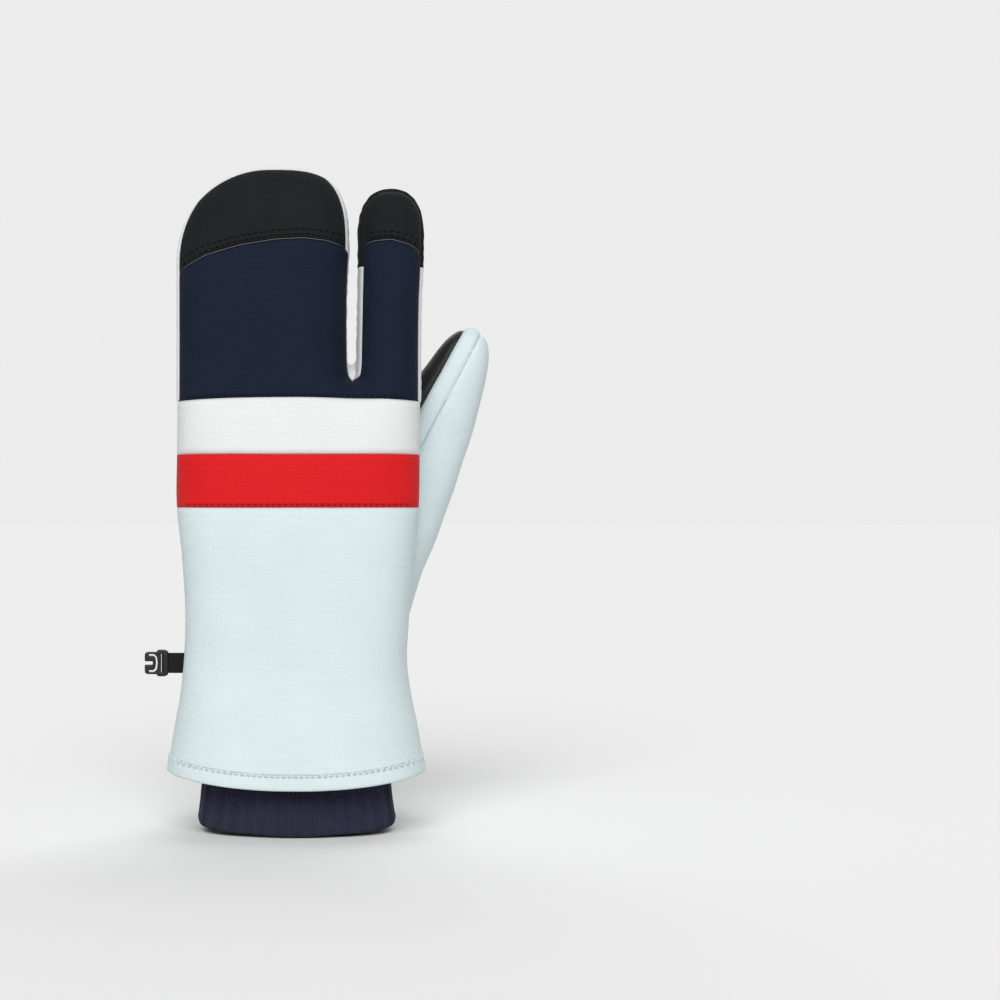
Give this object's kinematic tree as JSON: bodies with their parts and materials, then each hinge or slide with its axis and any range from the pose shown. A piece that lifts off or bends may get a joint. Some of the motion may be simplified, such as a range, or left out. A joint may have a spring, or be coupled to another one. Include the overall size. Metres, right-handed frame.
{
  "type": "ski mitt",
  "caption": "Left-hand three-finger ski mitt with leather palm, padded shell, gauntlet, ribbed knit cuff and a clip strap; the fingers, thumb and wrist bend.",
  "frame": {"origin": "middle of the foot of the bounding box, on the surface the knit cuff stands on", "axes": "+Z from the cuff to the fingertips, +X to the thumb, +Y out of the palm"},
  "size_m": [0.1592, 0.0832, 0.3038],
  "materials": {
    "pale_fabric": "matte woven",
    "navy_fabric": "matte woven",
    "white_fabric": "matte woven",
    "red_fabric": "matte woven",
    "black_leather": "soft sheen, pebbled",
    "knit": "ribbed knit",
    "wadding": "matte",
    "lining": "brushed",
    "elastic": "matte",
    "webbing": "woven",
    "clip_plastic": "satin"
  },
  "bodies": {
    "cuff": {"gauntlet_back_panel": "pale_fabric", "gauntlet_palm_panel": "pale_fabric", "hem_band": "pale_fabric", "gauntlet_wadding": "wadding", "gauntlet_lining": "lining", "knit_cuff": "knit", "cuff_seam_ring": "lining", "wrist_fold": "pale_fabric", "wrist_elastic": "elastic"},
    "hand": {"hand_back_panel": "pale_fabric", "red_band": "red_fabric", "white_band": "white_fabric", "navy_yoke": "navy_fabric", "little_side_gusset": "white_fabric", "crotch_web": "white_fabric", "index_side_gusset": "white_fabric", "palm_leather": "black_leather", "heel_leather": "black_leather", "wrist_palm_panel": "pale_fabric", "thumb_side_strip": "pale_fabric", "hand_wadding": "wadding", "hand_lining": "lining", "thumb_base_leather": "black_leather", "thumb_base_panel": "pale_fabric", "thumb_fold": "pale_fabric", "pod_fold": "black_leather", "index_fold": "black_leather"},
    "pod": {"pod_back": "navy_fabric", "pod_cap_back": "black_leather", "pod_palm_leather": "black_leather", "pod_cap_palm": "black_leather", "pod_gusset": "white_fabric", "pod_wadding": "wadding", "pod_lining": "lining"},
    "index": {"index_back": "navy_fabric", "index_cap_back": "black_leather", "index_palm_leather": "black_leather", "index_cap_palm": "black_leather", "index_gusset": "white_fabric", "index_outer_gusset": "white_fabric", "index_cap_gusset": "black_leather", "index_wadding": "wadding", "index_lining": "lining"},
    "thumb": {"thumb_leather": "black_leather", "thumb_gusset": "pale_fabric", "thumb_outer_panel": "pale_fabric", "thumb_wadding": "wadding", "thumb_lining": "lining"},
    "strap": {"strap_webbing": "webbing"},
    "clip": {"clip": "clip_plastic"}
  },
  "joints": [
    {"name": "wrist_bend", "type": "hinge", "parent": "cuff", "child": "hand", "pos_m": [-0.0096, -0.00477, 0.076], "axis": [-1, 0, 0], "range_deg": [-20, 20], "stiffness_Nm_per_rad": 1.5, "deforming": ["wrist_fold", "wrist_elastic"]},
    {"name": "pod_curl", "type": "hinge", "parent": "hand", "child": "pod", "pos_m": [-0.0256, -0.00477, 0.218], "axis": [-1, 0, 0], "range_deg": [0, 60], "stiffness_Nm_per_rad": 0.4, "deforming": ["pod_fold"]},
    {"name": "index_curl", "type": "hinge", "parent": "hand", "child": "index", "pos_m": [0.0324, -0.00477, 0.218], "axis": [-1, 0, 0], "range_deg": [0, 60], "stiffness_Nm_per_rad": 0.2, "deforming": ["index_fold"]},
    {"name": "thumb_swing", "type": "hinge", "parent": "hand", "child": "thumb", "pos_m": [0.0434, 0.02223, 0.172], "axis": [-0.9272, 0, 0.3746], "range_deg": [0, 38], "stiffness_Nm_per_rad": 0.2, "deforming": ["thumb_fold"]},
    {"name": "strap_swing", "type": "hinge", "parent": "cuff", "child": "strap", "pos_m": [-0.0644, -0.00477, 0.0765], "axis": [0, 0, 1], "range_deg": [-55, 55], "stiffness_Nm_per_rad": 0.01},
    {"name": "clip_pivot", "type": "hinge", "parent": "strap", "child": "clip", "pos_m": [-0.07, -0.00477, 0.0765], "axis": [0, 0, 1], "range_deg": [-45, 45]}
  ]
}
